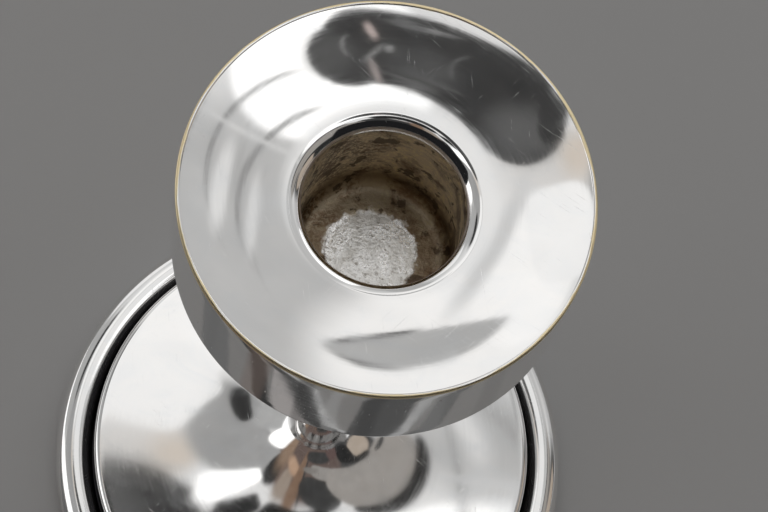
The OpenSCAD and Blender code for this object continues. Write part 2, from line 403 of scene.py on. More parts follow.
def tarnished_material(name):
    """Candle socket: brown tarnished wall with yellowish grains of residue, a painted glint of
    light on one side of the wall, and a bright grainy disc in its floor."""
    material, k, shader = new_material(name)
    place = k.place()
    polar, r, z = around(k, place, 1.6, 1.4)
    cloud = k.noise(place, 0.20, 5.0, 0.62, 0.6)
    blot = k.noise(k.vector("ADD", place, (31, 7, 0)), 0.34, 4.0, 0.6, 0.3)
    streak = k.noise(polar, 1.0, 4.0, 0.6)
    grain = k.noise(place, 1.7, 3.0, 0.7)
    fine = k.noise(place, 6.5, 2.0, 0.6)
    wall = k.mix(k.ramp(cloud, 0.38, 0.60), (0.27, 0.185, 0.12, 1), (0.86, 0.74, 0.55, 1))
    wall = k.mix(k.ramp(streak, 0.45, 0.7, 0.0, 0.35), wall, (0.68, 0.60, 0.48, 1))
    grains = k.times(k.ramp(grain, 0.52, 0.62, 0.0, 0.85),
                    k.ramp(cloud, 0.40, 0.58, 0.25, 1.0))
    wall = k.mix(grains, wall, (1.0, 0.90, 0.60, 1))
    x, y, _ = k.split(place)
    # painted highlight: one side of the wall gets bright residue-coloured grains, standing in for
    # light that falls in through the mouth
    left = k.ramp(k.math("SUBTRACT", k.times(y, 0.45), x), 4.0, 13.0)
    residue_and_painted_glints = k.times(left, k.ramp(grain, 0.46, 0.60, 0.0, 0.9))
    wall = k.mix(residue_and_painted_glints, wall, (1.0, 0.91, 0.72, 1))
    # the wall is made darker towards the bore's floor
    uneven = k.plus(z, k.times(k.math("SUBTRACT", blot, 0.5), 9.0))
    low = k.times(k.ramp(uneven, socket_z + 7.0, socket_z + 3.0), 0.5)
    wall = k.mix(low, wall, (0.17, 0.115, 0.07, 1))
    wall = k.mix(k.ramp(blot, 0.56, 0.62, 0.0, 0.8), wall, (0.09, 0.06, 0.04, 1))
    floor = k.mix(k.ramp(cloud, 0.35, 0.7), (0.96, 0.95, 0.93, 1), (0.86, 0.84, 0.80, 1))
    floor = k.mix(k.ramp(grain, 0.56, 0.68, 0.0, 0.5), floor, (0.46, 0.42, 0.36, 1))
    rag = k.noise(k.vector("ADD", place, (3, 17, 0)), 0.9, 4.0, 0.65)
    ragged = k.plus(k.times(k.math("SUBTRACT", blot, 0.5), 3.5),
                    k.times(k.math("SUBTRACT", rag, 0.5), 2.6))
    on_floor = k.times(k.ramp(k.plus(r, ragged), COIN_R + 0.5, COIN_R - 0.3),
                      k.ramp(z, socket_z + 2.2, socket_z + 1.2))
    tone = k.mix(on_floor, wall, floor)
    rough = k.plus(k.ramp(cloud, 0.3, 0.7, 0.36, 0.52), k.ramp(grain, 0.5, 0.7, 0.0, 0.2))
    rough = k.math("SUBTRACT", rough, k.times(on_floor, 0.14))
    normal = k.bump(grain, 0.10 * MM)
    normal = k.bump(fine, 0.012 * MM, normal)
    k.fill(shader, {"Base Color": tone, "Roughness": rough, "Metallic": 1.0, "Normal": normal})
    return material


def turned_material(name, light, dark, rough):
    """Turned or rolled metal: fine turning lines, stains and dull patches."""
    material, k, shader = new_material(name)
    place = k.place()
    polar, _, _ = around(k, place, 2.0, 7.0)
    lines = k.noise(polar, 1.0, 3.0, 0.6)
    cloud = k.noise(place, 0.3, 4.0, 0.6)
    k.fill(shader, {"Base Color": k.mix(k.ramp(cloud, 0.35, 0.7), light, dark),
                    "Roughness": k.ramp(cloud, 0.3, 0.7, rough, rough + 0.16),
                    "Metallic": 1.0, "Normal": k.bump(lines, 0.006 * MM)})
    return material


def coarse_material(name, light, dark, scale, height, rough, sheen=0.0):
    """Rough matt stuff: cast filling, fibre board or felt."""
    material, k, shader = new_material(name)
    place = k.place()
    lumps = k.noise(place, scale, 6.0, 0.65)
    fibre = k.noise(k.vector("MULTIPLY", place, (1.0, 3.5, 2.0)), scale * 2.3, 3.0, 0.7, 1.2)
    tone = k.mix(k.ramp(lumps, 0.3, 0.72), dark, light)
    tone = k.mix(k.ramp(fibre, 0.52, 0.72, 0.0, 0.5), tone, light)
    normal = k.bump(fibre, height * 0.5 * MM, k.bump(lumps, height * MM))
    k.fill(shader, {"Base Color": tone, "Roughness": k.ramp(fibre, 0.3, 0.7, rough - 0.1, rough),
                    "Sheen Weight": sheen, "Normal": normal})
    return material


pan_silver = silver_material("silver_pan", rim_wear=True, mouth_wear=True)
drum_silver = silver_material("silver_drum", rim_wear=True, wave=1.3)
stem_silver = silver_material("silver_stem", dull=0.015, wave=1.2)
foot_silver = silver_material("silver_foot", groove=True, dull=0.03, wave=0.8)
socket_metal = tarnished_material("tarnished_socket")
brass = turned_material("brass", (0.80, 0.62, 0.30, 1), (0.58, 0.42, 0.20, 1), 0.28)
steel = turned_material("steel", (0.56, 0.56, 0.57, 1), (0.36, 0.35, 0.34, 1), 0.30)
casting = coarse_material("casting", (0.33, 0.32, 0.31, 1), (0.17, 0.165, 0.16, 1), 0.7, 0.25, 0.9)
board = coarse_material("board", (0.42, 0.30, 0.19, 1), (0.30, 0.21, 0.13, 1), 1.4, 0.03, 0.85)
felt = coarse_material("felt", (0.060, 0.085, 0.060, 1), (0.022, 0.036, 0.024, 1), 2.4, 0.12, 1.0,
                       sheen=0.5)


# ---------------------------------------- cup

edge_r = cup_r - RIM_LIP


def pan_angle(r, radius=PAN_HOLLOW_R):
    """Angle on the pan's hollow, or on its underside, at radius r."""
    return -math.degrees(math.acos((r - pan_c[0]) / radius))


def on_pan(r, deeper=0.0):
    """Point of the pan at radius r, deeper millimetres into the metal."""
    a = math.radians(pan_angle(r))
    reach = PAN_HOLLOW_R + deeper
    return pan_c[0] + reach * math.cos(a), pan_c[1] + reach * math.sin(a)


def make_pan():
    under = PAN_HOLLOW_R + SHEET
    outline = arc(pan_c, PAN_HOLLOW_R, pan_angle(edge_r - PAN_FIT), roll_a, 96)
    outline += arc(roll_c, ROLL_R, roll_a + 180, 90 + ROLL_END, 40)[1:]
    outline += arc(arris_c, ARRIS_R, 90 + ROLL_END, 180, 6)[1:]
    outline += line((mouth_r, arris_c[1]), (mouth_r, mouth_z), 2)
    outline += [(mouth_r, mouth_z), (mouth_r + SHEET, mouth_z)]
    outline += arc(roll_c, ROLL_R - SHEET, 90 + ROLL_END, roll_a + 180, 16)
    outline += arc(pan_c, under, roll_a, pan_angle(edge_r - PAN_FIT, under), 40)[1:]
    finish_mesh("dished_pan", lathe(outline, 384), pan_silver, "cup_pan")


def make_drum():
    corner = (cup_r - CUP_CORNER_R, rim_z - CUP_WALL_H + CUP_CORNER_R)
    inside_r = cup_r - SHEET
    land_r = neck_r + NECK_SEAT_W
    under_c = meet((land_r, land_z), UNDERSIDE_R, corner, UNDERSIDE_R - CUP_CORNER_R)
    a0, a1 = direction(under_c, (land_r, land_z)), direction(under_c, corner)
    bead = (cup_r - RIM_BEAD_R, rim_z - RIM_BEAD_R)
    wall_z = corner[1] + 6                    # below this the wall's mesh is finer
    hole_r = boss_r + FIT
    outline = [(cup_r, wall_z)] + line((cup_r, wall_z), (cup_r, bead[1]), 6)
    outline += arc(bead, RIM_BEAD_R, 0, 140, 28)
    outline += [(edge_r, on_pan(edge_r, -FIT)[1]), (edge_r, on_pan(edge_r, SHEET + FIT)[1]),
                (inside_r, on_pan(inside_r, SHEET + FIT)[1]), (inside_r, wall_z)]
    outline += arc(corner, CUP_CORNER_R - SHEET, 0, a1, 10)
    outline += arc(under_c, UNDERSIDE_R - SHEET, a1, a0, 24)[1:]
    outline += [(land_r - SHEET, land_z + SHEET), (hole_r, land_z + SHEET), (hole_r, land_z)]
    outline += line((hole_r, land_z), (land_r, land_z), 6)
    outline += arc(under_c, UNDERSIDE_R, a0, a1, 56)
    outline += arc(corner, CUP_CORNER_R, a1, 0, 24)[1:]
    outline += line((cup_r, corner[1]), (cup_r, wall_z), 3)
    finish_mesh("cup_drum", lathe(outline, 384), drum_silver, "cup_shell")


def make_socket():
    bore = socket_r - SOCKET_WALL
    floor_z = socket_z + SOCKET_WALL
    bend = (bore - SOCKET_BEND_R, floor_z + SOCKET_BEND_R)
    coin_z = floor_z - COIN_DEPTH
    outline = rounded([(socket_r, mouth_z, 0.08), (bore, mouth_z, 0.14), (bore, mouth_z - 2)], 5)
    outline += line((bore, mouth_z - 2), (bore, bend[1]), 14)
    outline += arc(bend, SOCKET_BEND_R, 0, -90, 20)
    outline += line((bend[0], floor_z), (COIN_R + 0.12, floor_z), 4)
    outline += [(COIN_R + 0.12, floor_z), (COIN_R + 0.05, floor_z - 0.02),
                (COIN_R - 0.05, coin_z + 0.02), (COIN_R - 0.12, coin_z)]
    outline += line((COIN_R - 0.12, coin_z), (0, coin_z), 12)
    outline += [(0, coin_z), (0, socket_z), (bend[0], socket_z)]
    outline += arc(bend, SOCKET_BEND_R + SOCKET_WALL, -90, 0, 16)[1:]

    def dented(r, z, a):
        """The liner's floor is a little uneven."""
        if z < floor_z + 0.05 and r < bend[0]:
            lump = noise.noise(Vector((r * math.cos(a) * 0.35, r * math.sin(a) * 0.35, 3.0)))
            return r, z + 0.05 * lump * min(1, (bend[0] - r) / 2)
        return r, z

    finish_mesh("socket_liner", lathe(outline, 256, dented), socket_metal, "candle_socket")


# ---------------------------------------- neck and stem

def neck_flare(deeper=0.0, n=56):
    """Outline of the neck from the stem up to its flange, deeper millimetres into the metal."""
    r1 = neck_r - NECK_FLANGE_W
    w, h = r1 - stem_r, land_z - neck_z - SHEET
    out = []
    for i in range(n + 1):
        t = math.pi / 2 * i / n
        m = math.hypot(h * math.cos(t), w * math.sin(t))
        out.append((r1 - w * math.cos(t) - deeper * h * math.cos(t) / m,
                    neck_z + h * math.sin(t) + deeper * w * math.sin(t) / m))
    return out


def make_neck():
    outside, inside = neck_flare(), neck_flare(SHEET, 30)
    bottom = [(inside[0][0], neck_z), (stem_r, neck_z)]
    flange = rounded([outside[-1], (neck_r, land_z - SHEET, 0.25), (neck_r, land_z, 0.1),
                      inside[-1]], 5)
    outline = bottom + outside[1:-1] + flange + inside[-2:0:-1]
    finish_mesh("neck", lathe(outline, 192), stem_silver, "neck_collar")


def make_stem():
    inner = stem_r - SHEET
    outline = [(inner, stem_z), (stem_r, stem_z)]
    outline += line((stem_r, stem_z), (stem_r, stem_top), 24)
    outline += [(stem_r, stem_top), (inner, stem_top)]
    outline += line((inner, stem_top), (inner, stem_z), 8)
    finish_mesh("stem", lathe(outline, 128), stem_silver, "stem_tube")


# ---------------------------------------- foot

dish_corner = (dish_r - DISH_CORNER_R, DISH_EDGE_H - DISH_CORNER_R)
edge_slope = math.degrees(math.atan(FLARE_RATE / dish_corner[0]))
dish_start = (dish_corner[0] + DISH_CORNER_R * math.sin(math.radians(edge_slope)),
              dish_corner[1] + DISH_CORNER_R * math.cos(math.radians(edge_slope)))
fillet_start = stem_r + FLARE_FILLET_W
fillet_slope = math.degrees(math.atan(FLARE_RATE / fillet_start))
fillet_r = FLARE_FILLET_W / (1 - math.sin(math.radians(fillet_slope)))


def trumpet_z(r):
    return dish_start[1] + FLARE_RATE * math.log(dish_start[0] / r)


fillet_c = (stem_r + fillet_r,
            trumpet_z(fillet_start) + fillet_r * math.cos(math.radians(fillet_slope)))


def trumpet(deeper=0.0, n=96):
    """Outline of the dish from its fillet out to its edge, deeper millimetres into the metal."""
    out = arc(fillet_c, fillet_r + deeper, 180, 270 - fillet_slope, 12)
    for i in range(1, n + 1):
        r = fillet_start * (dish_start[0] / fillet_start) ** (i / n)
        slope = math.atan(FLARE_RATE / r)
        out.append((r - deeper * math.sin(slope), trumpet_z(r) - deeper * math.cos(slope)))
    return out


def make_dish():
    outline = [(stem_r, flare_z)] + trumpet()
    outline += arc(dish_corner, DISH_CORNER_R, 90 - edge_slope, 0, 16)[1:]
    outline += line((dish_r, dish_corner[1]), (dish_r, shelf_z), 4)
    outline += [(dish_r, shelf_z), (dish_r - SHEET, shelf_z)]
    outline += arc(dish_corner, DISH_CORNER_R - SHEET, 0, 90 - edge_slope, 8)
    outline += trumpet(SHEET, 48)[:0:-1]
    outline += [(stem_r - SHEET, flare_z)]
    finish_mesh("foot_dish", lathe(outline, 384), foot_silver, "base_dish")


def make_foot_ring():
    crown = (foot_r - RING_R, crown_z - RING_R)
    corner = (foot_r - RING_CORNER_R, foot_z + RING_CORNER_R)
    lip_r = foot_r - RING_LIP_W
    rise = shelf_z - crown[1]
    shelf_a = 180 - math.degrees(math.asin(rise / RING_R))
    under_a = 180 - math.degrees(math.asin((rise - SHEET) / (RING_R - SHEET)))
    shelf_r = dish_r - SHELF_W
    groove_r = crown[0] + RING_R * math.cos(math.radians(shelf_a))
    outline = rounded([(lip_r, foot_z + SHEET, EDGE), (lip_r, foot_z, EDGE),
                       (lip_r + 0.8, foot_z)], 4)
    outline += arc(corner, RING_CORNER_R, -90, 0, 20)
    outline += arc(crown, RING_R, 0, shelf_a, 72)
    outline += line((groove_r, shelf_z), (shelf_r, shelf_z), 5)
    outline += [(shelf_r, shelf_z), (shelf_r, shelf_z - SHEET)]
    outline += arc(crown, RING_R - SHEET, under_a, 0, 28)
    outline += arc(corner, RING_CORNER_R - SHEET, 0, -90, 8)
    finish_mesh("foot_moulding", lathe(outline, 384), foot_silver, "foot_ring")


def make_felt():
    def fuzzy(r, z, a):
        """Cut felt has a ragged edge and a soft face."""
        x, y = r * math.cos(a), r * math.sin(a)
        rag = noise.fractal(Vector((x * 1.1, y * 1.1, z * 1.3)), 0.8, 2.0, 3)
        if r > felt_r - 0.6:
            r += min(0.0, -0.12 + 0.12 * rag)
        if z > felt_z / 2:
            return r, z - 0.03 * abs(rag)
        return r, z + 0.03 * abs(rag)

    outline = [(0, 0)] + line((0, 0), (felt_r, 0), 24)
    outline += rounded([(felt_r, 0, 0.3), (felt_r, felt_z, 0.2), (felt_r - 1, felt_z)], 5)
    outline += line((felt_r - 1, felt_z), (0, felt_z), 20) + [(0, felt_z)]
    finish_mesh("felt", lathe(outline, 360, fuzzy), felt, "felt_pad")


# ---------------------------------------- inside

def threaded(r, z0, z1, rows=7):
    """Screw thread from z0 to z1 on a rod of radius r: heights of the mesh's rings, rows to a turn,
    and the function that gives the radius at a height and an angle."""
    count = int((z1 - z0) / THREAD_PITCH * rows)
    run_out = 1.2 * THREAD_PITCH              # length over which the thread fades at each end

    def radius(z, a):
        along = (z - z0) / THREAD_PITCH - a / TURN
        tooth = abs(2 * (along - math.floor(along)) - 1)
        fade = min(1, (z - z0) / run_out, (z1 - z) / run_out)
        return r - THREAD_DEPTH * max(0, fade) * min(1, max(0, 1.25 * (1 - tooth) - 0.12))

    return [z0 + (z1 - z0) * i / count for i in range(count + 1)], radius


def make_rod():
    rod_r, z0, z1 = cad_size("tie_rod")
    chamfer = 0.35
    end_r = rod_r - chamfer - 0.1
    low, low_r = threaded(rod_r, z0 + chamfer, z0 + LOW_THREAD)
    high, high_r = threaded(rod_r, z1 - HIGH_THREAD, z1 - chamfer)
    outline = [(0, z0), (end_r, z0)]
    outline += [(rod_r, z) for z in low] + line((rod_r, low[-1]), (rod_r, high[0]), 16)
    outline += [(rod_r, z) for z in high] + [(end_r, z1), (0, z1)]

    def cut(r, z, a):
        if r < rod_r - 0.01:
            return r, z
        if low[0] <= z <= low[-1]:
            return low_r(z, a), z
        if high[0] <= z <= high[-1]:
            return high_r(z, a), z
        return r, z

    finish_mesh("tie_bolt", lathe(outline, 40, cut), steel, "tie_rod", 60)


def make_ring(name, node, material, inner):
    """Plain turned ring with its edges broken, between the CAD node's limits."""
    r, z0, z1 = cad_size(node)
    outline = rounded([(inner, z0, EDGE), (r, z0, EDGE), (r, z1, EDGE), (inner, z1, EDGE)], 4)
    finish_mesh(name, lathe(outline, 96), material, node)


def make_spring_washer():
    """Split washer, closed flat: a ring of square section with a slanting cut."""
    r, z0, z1 = cad_size("lock_washer")
    inner, b = TIE_HOLE_R + 0.03, EDGE
    section = rounded([(inner, z0, b), (r, z0, b), (r, z1, b), (inner, z1, b)], 3)
    bm = bmesh.new()
    steps, gap, slant = 96, math.radians(7), math.radians(14)
    rings = []
    for i in range(steps + 1):
        ring = []
        for rr, z in section:
            lean = slant * ((z - z0) / (z1 - z0) - 0.5)
            a = gap / 2 + lean + (TURN - gap) * i / steps
            ring.append(bm.verts.new((rr * MM * math.cos(a), rr * MM * math.sin(a), z * MM)))
        rings.append(ring)
    count = len(section)
    for a, b2 in zip(rings, rings[1:]):
        for i in range(count):
            j = (i + 1) % count
            bm.faces.new((a[i], a[j], b2[j], b2[i]))
    bm.faces.new(rings[0])
    bm.faces.new(rings[-1])
    finish_mesh("spring_washer", bm, steel, "lock_washer")


def make_nut():
    """Hexagon nut with chamfered corners: a lathe profile clipped by six flats."""
    _, z0, z1 = cad_size("tie_nut")
    _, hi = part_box("tie_nut")
    flat = min(hi.x, hi.y) / MM
    corner = flat / math.cos(math.pi / 6)
    inner, cone = 2.02, 0.42
    turn = 0 if hi.y < hi.x else math.pi / 6

    def hexagon(r, z, a):
        if r < inner + 0.5:
            return r, z
        sector = (a + turn + math.pi / 6 + math.pi / 6) % (math.pi / 3) - math.pi / 6
        return min(r, flat / math.cos(sector)), z

    outline = [(inner + 0.25, z0), (flat - 0.25, z0), (flat - 0.1, z0 + 0.04), (corner, z0 + cone)]
    outline += line((corner, z0 + cone), (corner, z1 - cone), 6)
    outline += [(corner, z1 - cone), (flat - 0.1, z1 - 0.04), (flat - 0.25, z1),
                (inner + 0.25, z1), (inner, z1 - 0.25)]
    outline += line((inner, z1 - 0.25), (inner, z0 + 0.25), 6) + [(inner, z0 + 0.25)]
    finish_mesh("hex_nut", lathe(outline, 144, hexagon), steel, "tie_nut", 25)


def make_sleeve(name, node, up):
    """Turned sleeve: its grip in the stem, its tail in the neck or the foot."""
    r, z0, z1 = cad_size(node)
    middle = z1 - 4 if up else z0 + 4
    outline = rounded([(TIE_HOLE_R, z0, 0.2), (r, z0, 0.3), (r, middle, 0), (r, z1, 0.3),
                       (TIE_HOLE_R, z1, 0.2)], 4)
    finish_mesh(name, lathe(outline, 96), brass, node)


def make_boss():
    inner, floor_z = 2.0, boss_z + 7
    outline = rounded([(inner, boss_z, 0.25), (boss_r, boss_z, 0.3), (boss_r, boss_top, 0.1),
                       (0.0, boss_top), (0.0, floor_z), (inner, floor_z - 0.4)], 4)
    finish_mesh("tapped_boss", lathe(outline, 96), brass, "socket_boss")


def make_ballast():
    """Cast filling, under the dish: rough, with a slight hollow where it shrank."""
    r, z0, z1 = cad_size("ballast")
    pocket_r, pocket_z, hole_r = 10.0, cad_size("spreader_washer")[2], TIE_HOLE_R
    hub_r = dish_start[0] / math.exp((z1 + SHEET * 1.2 - dish_start[1]) / FLARE_RATE)
    skin = [p for p in trumpet(SHEET + 0.05, 60) if hub_r < p[0] < r]
    top = [(hole_r, z1)] + line((hole_r, z1), (skin[0][0], z1), 4)
    outline = top + skin + [(r, skin[-1][1]), (r, z0)]
    outline += line((r, z0), (pocket_r, z0), 16) + [(pocket_r, z0)]
    outline += line((pocket_r, z0), (pocket_r, pocket_z), 5) + [(pocket_r, pocket_z)]
    outline += line((pocket_r, pocket_z), (hole_r, pocket_z), 5) + [(hole_r, pocket_z)]

    def cast(rr, z, a):
        if rr < pocket_r + 0.5 or rr > r - 0.1:
            return rr, z
        lump = noise.fractal(Vector((rr * math.cos(a) * 0.4, rr * math.sin(a) * 0.4, z)), 1, 2, 4)
        if z < z0 + 0.1:
            return rr, z + 0.12 * abs(lump)
        return rr, z - 0.10 * abs(lump)

    finish_mesh("cast_filling", lathe(outline, 192, cast), casting, "ballast")


def make_closing_plate():
    r, z0, z1 = cad_size("closing_plate")
    outline = [(0, z0)] + line((0, z0), (r, z0), 16)
    outline += rounded([(r, z0, 0.1), (r, z1, 0.1), (r - 1, z1)], 3)
    outline += line((r - 1, z1), (0, z1), 16) + [(0, z1)]
    finish_mesh("closing_board", lathe(outline, 192), board, "closing_plate")


make_pan()
make_drum()
make_socket()
make_neck()
make_stem()
make_dish()
make_foot_ring()
make_felt()
make_rod()
make_ring("flat_washer", "spreader_washer", steel, TIE_HOLE_R)
make_spring_washer()
make_nut()
make_sleeve("sleeve_top", "upper_sleeve", True)
make_sleeve("sleeve_foot", "lower_sleeve", False)
make_boss()
make_ballast()
make_closing_plate()


# ---------------------------------------- floor and backdrop

FLOOR_R, BACKDROP_R = 12.0, 11.9              # metres


def make_floor():
    material, k, shader = new_material("studio_floor")
    place = k.add("ShaderNodeTexCoord").outputs["Object"]
    tone = k.mix(k.ramp(k.noise(place, 2.0, 3.0), 0.3, 0.7), grey(0.40), grey(0.43))
    k.fill(shader, {"Base Color": tone, "Roughness": 0.9})
    bm = bmesh.new()
    bmesh.ops.create_circle(bm, cap_ends=True, radius=FLOOR_R, segments=96)
    floor = place_object("floor", mesh_from("floor", bm, smooth=False), material)


def make_backdrop():
    """Pale dome that only the camera sees, so that a low view has a plain background."""
    material, k = empty_material("studio_backdrop")
    height = k.split(k.add("ShaderNodeTexCoord").outputs["Object"])[2]
    tone = k.mix(k.ramp(height, 0.0, 9.0), grey(0.27), grey(0.42))
    k.surface(k.add("ShaderNodeEmission", {"Color": tone, "Strength": 1.0}))
    bm = bmesh.new()
    bmesh.ops.create_icosphere(bm, subdivisions=4, radius=BACKDROP_R)
    dome = place_object("backdrop", mesh_from("backdrop", bm), material,
                        ("diffuse", "glossy", "transmission", "volume_scatter", "shadow"))


make_floor()
make_backdrop()


# ---------------------------------------- studio light

DOME_R = 8.0                                  # metres
DOME_COLUMNS = 720
MOTTLE, MOTTLE_SCALE = 0.035, 9               # unevenness of the panels
WHITE, BLACK = 1.25, 0.012
SIDE_GREY, TOP_GREY = 0.42, 0.76              # of the dome between its panels


def tint(r, g, b):
    return r, g, b, 1.0


def painted_mesh(name, points, faces, colours):
    """Mesh with a colour and a cover at each point."""
    mesh = bpy.data.meshes.new(name)
    mesh.from_pydata(points, [], faces)
    glow = mesh.color_attributes.new("glow", "FLOAT_COLOR", "POINT")
    glow.data.foreach_set("color", colours.astype(np.float32).ravel())
    return mesh


def painted_glow(name, holes=False):
    """Glows in the colours of a painted mesh, and may be clear where its cover is 0."""
    material, k = empty_material(name)
    material.cycles.emission_sampling = "NONE"
    paint = k.add("ShaderNodeAttribute", attribute_name="glow").outputs
    shine = k.add("ShaderNodeEmission", {"Color": paint["Color"], "Strength": 1.0})
    if holes:
        clear = k.add("ShaderNodeBsdfTransparent")
        shine = k.add("ShaderNodeMixShader",
                      {0: paint["Alpha"], 1: clear.outputs[0], 2: shine.outputs[0]})
    k.surface(shine)
    return material


# Light and dark panels of the studio round the table, later ones over earlier ones: a colour, the
# shapes that a panel lies inside, and then any shape that it stays out of. A shape is, in degrees,
# how far it is from straight up to the right and away from the camera's side, its half width and
# half height, and its turn; then its corners' power (2 round, 8 square) and its edge's softness.
PANELS = [
    # round the horizon: dim brown on the near side, dark at the right, light at the far side
    (grey(0.06), [(76, -8, 24, 40, 0, 4, 0.12)]),
    (tint(0.125, 0.095, 0.085), [(0, -66, 62, 36, 0, 4, 0.12)]),
    (grey(WHITE), [(24, 76, 17, 14, 0, 5, 0.06)]),
    (grey(0.40), [(-24, 72, 7, 20, 0, 4, 0.15)]),
    (grey(0.85), [(-56, 62, 12, 16, 0, 4, 0.1)]),
    # the ceiling, as the dished pan sees it
    (grey(0.49), [(18, 38, 21, 24, 0, 2, 0.3)]),
    (grey(0.90, 0.005), [(-14, 43, 16, 13, 30, 2.3, 0.3)]),
    (grey(0.90, 0.005), [(-12, 30, 10, 10, 0, 2, 0.3)]),
    (grey(0.64, 0.02), [(-23, 9, 9, 7, 0, 2, 0.5)]),
    (grey(0.95, 0.005), [(-22.5, 26.5, 6.3, 13, -6, 2.5, 0.07)]),
    (grey(0.60), [(-15.8, 23, 1.5, 11, -12, 2, 0.6)]),
    (grey(0.05), [(-3.9, 30.3, 18.1, 18.1, 0, 2, 0.008), (-25.2, 69.3, 35.8, 35.8, 0, 2, 0.004),
                  (-5, 43.5, 6, 5, 28, 2, 0.3)]),
    (grey(0.42), [(-3.9, 30.3, 17.2, 17.2, 0, 2, 0.008), (-25.2, 69.3, 35, 35, 0, 2, 0.004)]),
    (grey(WHITE), [(13.5, 3, 15.5, 13, 14, 2.6, 0.06)]),
    (grey(0.80), [(-1, 20, 13.8, 14.2, 0, 2, 0.10)]),
    (grey(0.27), [(8, 22, 17.6, 19.5, 0, 2, 0.01), (24, 20, 7, 19, 0, 3, 0.3)],
     (7.3, 22.4, 17.5, 19.8, 0, 2, 0.01)),
    (grey(0.30), [(5, 25, 14.2, 17, 0, 2, 0.01), (17, 23, 6, 15, 0, 3, 0.3)],
     (4.2, 25.4, 14.0, 17.2, 0, 2, 0.01)),
    (grey(0.36), [(2, 26, 14.2, 19, 0, 2, 0.01), (13, 34, 6, 10, 0, 2, 0.4)],
     (1.5, 26.3, 14.1, 19.2, 0, 2, 0.01)),
    (grey(0.72), [(22.0, 28, 1.4, 7, 6, 2, 0.4)]),
    (grey(0.44), [(20.6, 24, 0.7, 6, 4, 2, 0.6)]),
    (grey(0.70), [(16.0, 30, 0.9, 6, 8, 2, 0.5)]),
    (grey(0.66), [(21, 18.5, 9, 0.4, -2, 2, 0.6)]),
    # the camera and whoever holds it: a dark bean shape, with a few glints
    (tint(0.62, 0.56, 0.50), [(-25.8, 5.8, 3.0, 3.8, 0, 2, 0.6)]),
    (grey(0.046), [(-2.8, -1.0, 19.6, 8.2, -4, 2.3, 0.015)],
     (2.0, 15.2, 15.2, 11.6, 0, 2, 0.01)),
    (grey(0.046), [(-15.3, 2.9, 7.4, 7.0, 12, 2, 0.02)]),
    (grey(0.046), [(11.4, 0.9, 6.4, 5.1, 0, 2, 0.02)]),
    (grey(0.11), [(-16, 4.5, 5, 4, 0, 2, 0.6)]),
    (grey(0.085), [(14, 1.5, 3.5, 3.5, 0, 2, 0.6)]),
    (grey(0.085), [(1, -1, 5, 3, 0, 2, 0.7)]),
    (tint(0.34, 0.30, 0.29), [(6.8, 2.0, 2.3, 0.5, -52, 2, 0.5)]),
    (tint(0.46, 0.39, 0.37), [(9.6, -4.4, 1.5, 0.6, -40, 3, 0.5)]),
    (grey(0.30), [(6.0, -2.4, 0.7, 0.5, 20, 2, 0.4)]),
    (grey(0.22), [(8.0, -0.8, 0.4, 2.2, -25, 2, 0.5)]),
    (grey(0.26), [(11, -1.4, 2.3, 2.3, 0, 2, 0.05), (12.4, -0.4, 1.6, 2, 0, 2, 0.3)],
     (10.6, -1.4, 2.2, 2.2, 0, 2, 0.05)),
    (grey(0.13), [(-6.5, -2.4, 3.2, 3.0, 0, 2, 0.05), (-4, -3.4, 2.4, 2.6, 0, 2, 0.3)],
     (-6.9, -2.3, 3.1, 2.9, 0, 2, 0.05)),
    (grey(0.28), [(2, -7.4, 5.5, 0.3, 5, 2, 0.4)]),
    (grey(0.15), [(1.5, 2.0, 4, 0.25, -4, 2, 0.4)]),
    (grey(0.13), [(-1.5, 0.9, 5, 0.2, -6, 2, 0.4)]),
    # left side
    (grey(0.33), [(-46, -2, 18, 31, 0, 3, 0.08)]),
    (grey(0.40), [(-66, 22, 15, 14, 0, 3, 0.2)]),
    (grey(WHITE), [(-95, 8, 14, 30, 20, 4, 0.06)]),
    (grey(WHITE), [(-82, -22, 25, 18, 0, 4, 0.05)]),
    (grey(0.03), [(-42.5, 22, 4.6, 8.5, -38, 3, 0.07)]),
    (grey(0.90), [(-26, 19, 5.5, 8, 25, 4, 0.06)]),
    (grey(0.045), [(-20.4, 0.4, 2.3, 4.8, 0, 2.2, 0.04)]),
    (grey(0.02), [(-17.2, -14.5, 3.4, 6.6, 0, 6, 0.05)]),
    (grey(0.035), [(-35, -34, 15, 6.5, 32, 2.2, 0.12)]),
    (grey(WHITE), [(-27.0, -12.5, 4.6, 11.0, -22, 5, 0.03)]),
    # near side
    (tint(0.26, 0.185, 0.135), [(-54, -50, 26, 9, 28, 2.5, 0.45)]),
    (tint(0.30, 0.25, 0.21), [(-16, -38, 5.5, 12, -25, 3, 0.3)]),
    (tint(0.44, 0.30, 0.21), [(-21, -53, 14, 6, 14, 2.5, 0.4)]),
    (tint(0.21, 0.14, 0.10), [(-5.5, -50, 4.5, 30, -4, 3, 0.3)]),
    (grey(0.02), [(3, -20.5, 16, 7, 0, 4, 0.08)]),
    (grey(0.05), [(1.2, -52, 1.2, 24, 0, 2, 0.4)]),
    (grey(0.27, 0.05), [(29, -49, 18, 7, 38, 3, 0.12)]),
    (grey(0.20, 0.06), [(11, -57, 12, 3.5, 8, 2, 0.3)]),
    (grey(0.048), [(17.5, -36, 19, 10, 36, 2.5, 0.06)]),
    (grey(0.05), [(30, -70, 27, 9, 22, 3, 0.15)]),
    # right side
    (grey(0.29, 0.06), [(45, -4, 13.5, 35, -4, 4, 0.06)]),
    (tint(0.115, 0.08, 0.075), [(72, -46, 14, 11, 30, 3, 0.2)]),
    (tint(0.40, 0.34, 0.285), [(71, 20, 12.5, 14, 0, 2.5, 0.10)]),
    (grey(0.03), [(62, 2, 3, 15, 12, 3, 0.12)]),
    (grey(0.025), [(76, -14, 14, 13, 0, 3, 0.10)]),
    (grey(BLACK), [(31.9, 8, 1.9, 20, -3, 3, 0.08)]),
    (grey(0.05), [(49, 28, 1.6, 6, 30, 2, 0.2)]),
]


